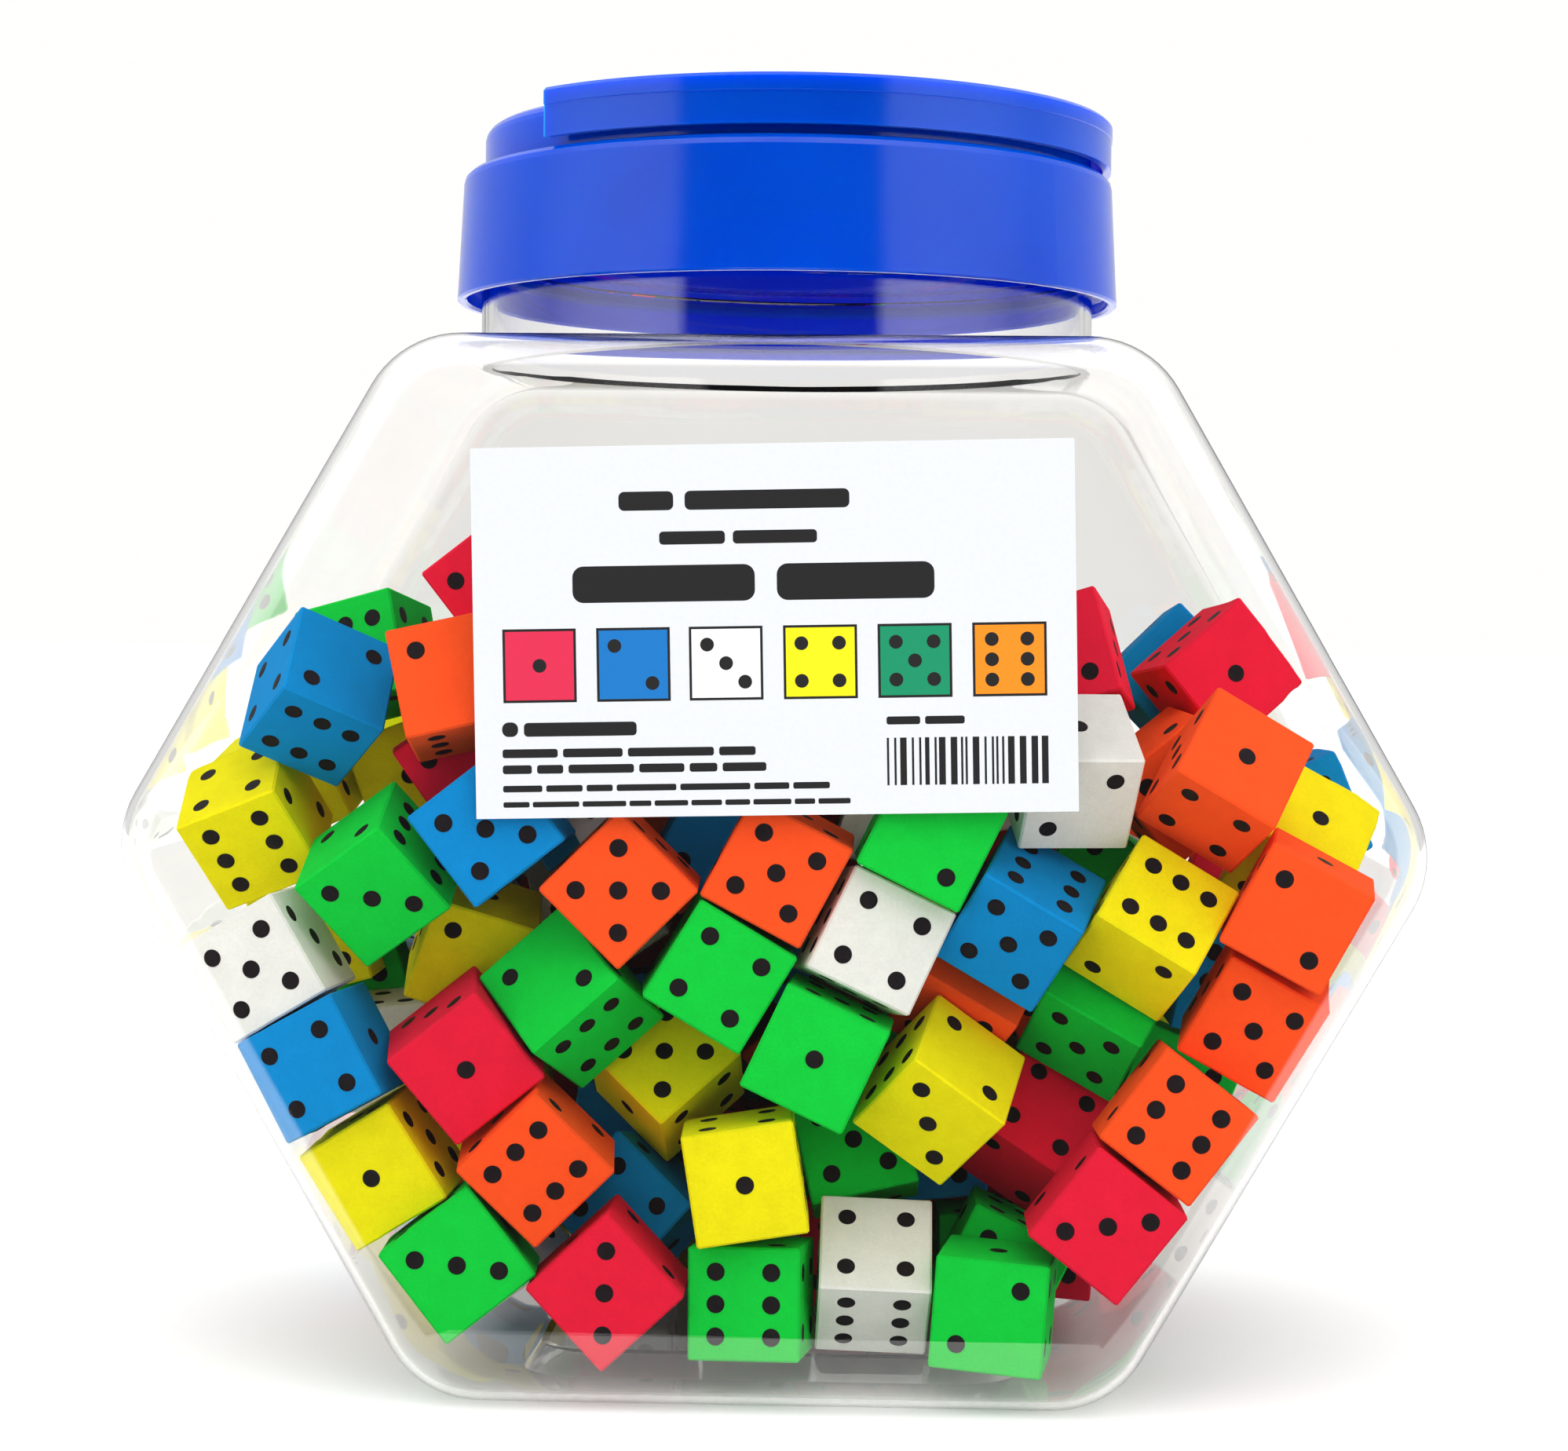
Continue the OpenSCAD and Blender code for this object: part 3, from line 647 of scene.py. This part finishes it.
def make_dice():
    """All the dice, one piece per colour, each die where its CAD cube is. The front ones show
    the faces in SHOWN, the others any faces."""
    rng = random.Random(PATTERN_SEED)
    spot_ink = ink("spot_ink", SPOT_BLACK)
    for colour, rgb in COLOURS.items():
        verts, faces, marks = [], [], []
        boxes = find_boxes(nodes[colour + "_dice"])
        chosen = {}
        for row in SHOWN:
            if row[0] == colour:
                left = [i for i in range(len(boxes)) if i not in chosen]
                chosen[min(left, key=lambda i: far_from(row, boxes[i][0]))] = row
        for i, (centre, axes, size) in enumerate(boxes):
            _, _, _, spin, lean, code = chosen.get(i, (colour, 0, 0, 0, 0, ""))
            axes = aligned(axes, turned_axes(spin, lean))
            values, sense = layout(code, rng)
            add_cube(centre, axes, size, verts, faces, marks)
            add_spots(centre, axes, size, values, sense, verts, faces, marks)
        dice = new_mesh(colour + "_dice_fine", verts, faces)
        dice.data.materials.append(foam(colour + "_foam", rgb))
        dice.data.materials.append(spot_ink)
        dice.data.polygons.foreach_set("material_index", marks)
        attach(dice, "tub")
        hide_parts(colour + "_dice")


# ---------------------------------------------------------------- label

LABEL_W, LABEL_H, LABEL_X, LABEL_Z, LABEL_TILT = 82.5, 50.8, 0.6, 108.2, 1.4
# The sheet's gap to the tub and its face, and the print's depth and the step of its layers.
SHEET_GAP, SHEET_T, INK_T, INK_STEP = 0.01, 0.12, 0.012, 0.0072
PRINT_LAYER, COLOUR_LAYER, SPOT_LAYER = 1, 2, 3
LABEL_INKS = {"paper": (0.8, 0.82, 0.85), "dark": (0.006, 0.005, 0.006),
              "red": (0.76, 0.02, 0.08), "blue": (0.0, 0.18, 0.56), "white": (0.88, 0.88, 0.88),
              "yellow": (0.93, 0.86, 0.0), "green": (0.0, 0.29, 0.13),
              "orange": (0.95, 0.28, 0.005)}
# The row of six printed dice: colours and places; then half the size of the dark edge and of the
# coloured face, their height on the label, and how far the spots' places shrink.
ICONS = [("red", -32.2), ("blue", -19.3), ("white", -6.6), ("yellow", 6.3), ("green", 19.2),
         ("orange", 32.1)]
ICON_EDGE, ICON_FACE, ICON_Y, ICON_SCALE = 5.05, 4.7, -4.5, 0.62
ICON_SPOT_R, ICON_SPOT_SIDES = 0.95, 18
# Rows of plain bars in place of words: left end, foot, height and the bars' lengths.
ROWS = [
    (-21.0, 16.5, 2.6, [7.5, 22.5]), (-15.5, 11.8, 1.8, [9.0, 11.5]),
    (-27.5, 4.0, 5.0, [25.0, 21.5]), (-34.5, -14.2, 1.9, [15.5]),
    (-37.5, -17.1, 1.2, [7.6, 8.2, 11.8, 5.0]), (-37.5, -19.3, 1.2, [4.0, 3.6, 9.0, 6.2, 3.8, 6.0]),
    (-37.5, -21.8, 0.9, [5.4, 5.0, 3.6, 8.2, 9.6, 4.8, 5.0]),
    (-37.5, -23.9, 0.75, [3.6, 6.4, 6.0, 3.0, 4.6, 4.2, 3.4, 5.2, 2.8, 4.4]),
    (15.2, -13.2, 1.1, [4.6, 5.4]),
]
# Corner radius of a bar and the gap after it, as parts of its height.
ROW_ROUNDING, ROW_GAP, ROW_STEPS = 0.3, 0.6, 6
BULLET = (-37.5, -14.2, -35.3, -12.2, 0.9)
STRIPES_LEFT, STRIPES_RIGHT, STRIPES_LOW, STRIPES_HIGH, STRIPES_SEED = 15.2, 36.5, -21.5, -15.0, 3
STRIPE_WIDTHS, STRIPE_GAPS = (0.3, 0.3, 0.6, 0.9), (0.3, 0.5, 0.7)


def print_shapes():
    """Printed shapes on the label, as (layer, ink, outline of (right, up) points in mm)."""
    shapes = []

    def bar(x0, y0, x1, y1, layer=PRINT_LAYER, tone="dark"):
        shapes.append((layer, tone, [(x0, y0), (x1, y0), (x1, y1), (x0, y1)]))

    def rounded_bar(x0, y0, x1, y1, r):
        ring = []
        for x, y, start in ((x1 - r, y1 - r, 0), (x0 + r, y1 - r, 90), (x0 + r, y0 + r, 180),
                            (x1 - r, y0 + r, 270)):
            ring += arc(x, y, r, start, 90, ROW_STEPS)
        shapes.append((PRINT_LAYER, "dark", ring))

    for x, y, height, lengths in ROWS:
        for length in lengths:
            rounded_bar(x, y, x + length, y + height, height * ROW_ROUNDING)
            x += length + height * ROW_GAP
    rounded_bar(*BULLET)
    for value, (tone, x) in enumerate(ICONS, start=1):
        for half, layer, fill in ((ICON_EDGE, PRINT_LAYER, "dark"),
                                  (ICON_FACE, COLOUR_LAYER, tone)):
            bar(x - half, ICON_Y - half, x + half, ICON_Y + half, layer, fill)
        for a, b in spots(value, "|" if value == 6 else "\\"):
            ring = arc(x + a * ICON_SCALE, ICON_Y + b * ICON_SCALE, ICON_SPOT_R, 0, 360,
                       ICON_SPOT_SIDES)
            shapes.append((SPOT_LAYER, "dark", ring[:-1]))
    rng = random.Random(STRIPES_SEED)
    x = STRIPES_LEFT
    while x < STRIPES_RIGHT:
        width = rng.choice(STRIPE_WIDTHS)
        bar(x, STRIPES_LOW, x + width, STRIPES_HIGH)
        x += width + rng.choice(STRIPE_GAPS)
    return shapes


def make_label():
    """The paper label on the front panel, with its print as thin raised shapes."""
    turn = math.radians(LABEL_TILT)
    right = Vector((math.cos(turn), 0, math.sin(turn)))
    up = Vector((-math.sin(turn), 0, math.cos(turn)))
    middle = Vector((LABEL_X * MM, -(TUB_D / 2) * MM, LABEL_Z * MM))
    out = Vector((0, -1, 0))
    inks = list(LABEL_INKS)
    verts, faces, marks = [], [], []

    def plate(ring, low, high, tone):
        first, n = len(verts), len(ring)
        for depth in (low * MM, high * MM):
            verts.extend(middle + out * depth + right * a * MM + up * b * MM for a, b in ring)
        faces.append(tuple(range(first + n - 1, first - 1, -1)))
        faces.append(tuple(range(first + n, first + 2 * n)))
        faces.extend((first + i, first + (i + 1) % n, first + n + (i + 1) % n, first + n + i)
                     for i in range(n))
        marks.extend([inks.index(tone)] * (n + 2))

    w, h = LABEL_W / 2, LABEL_H / 2
    plate([(-w, -h), (w, -h), (w, h), (-w, h)], SHEET_GAP, SHEET_T, "paper")
    for layer, tone, ring in print_shapes():
        plate(ring, SHEET_T - INK_T, SHEET_T + layer * INK_STEP, tone)
    label = new_mesh("label_fine", verts, faces)
    for name, colour in LABEL_INKS.items():
        label.data.materials.append(paper("label_" + name, colour))
    label.data.polygons.foreach_set("material_index", marks)
    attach(label, "tub")
    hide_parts("paper_label")


# ---------------------------------------------------------------- all together

LINER_WHITE = (0.82, 0.82, 0.8)

make_camera()
make_light()
make_floor()
make_tub()
make_label()
make_dice()
blue = blue_plastic()
set_material(nodes["screw_cap"], blue)
set_material(nodes["flip_flap"], blue)
set_material(nodes["seal_liner"], foam("liner_foam", LINER_WHITE))
bpy.context.scene.view_settings.view_transform = "Standard"
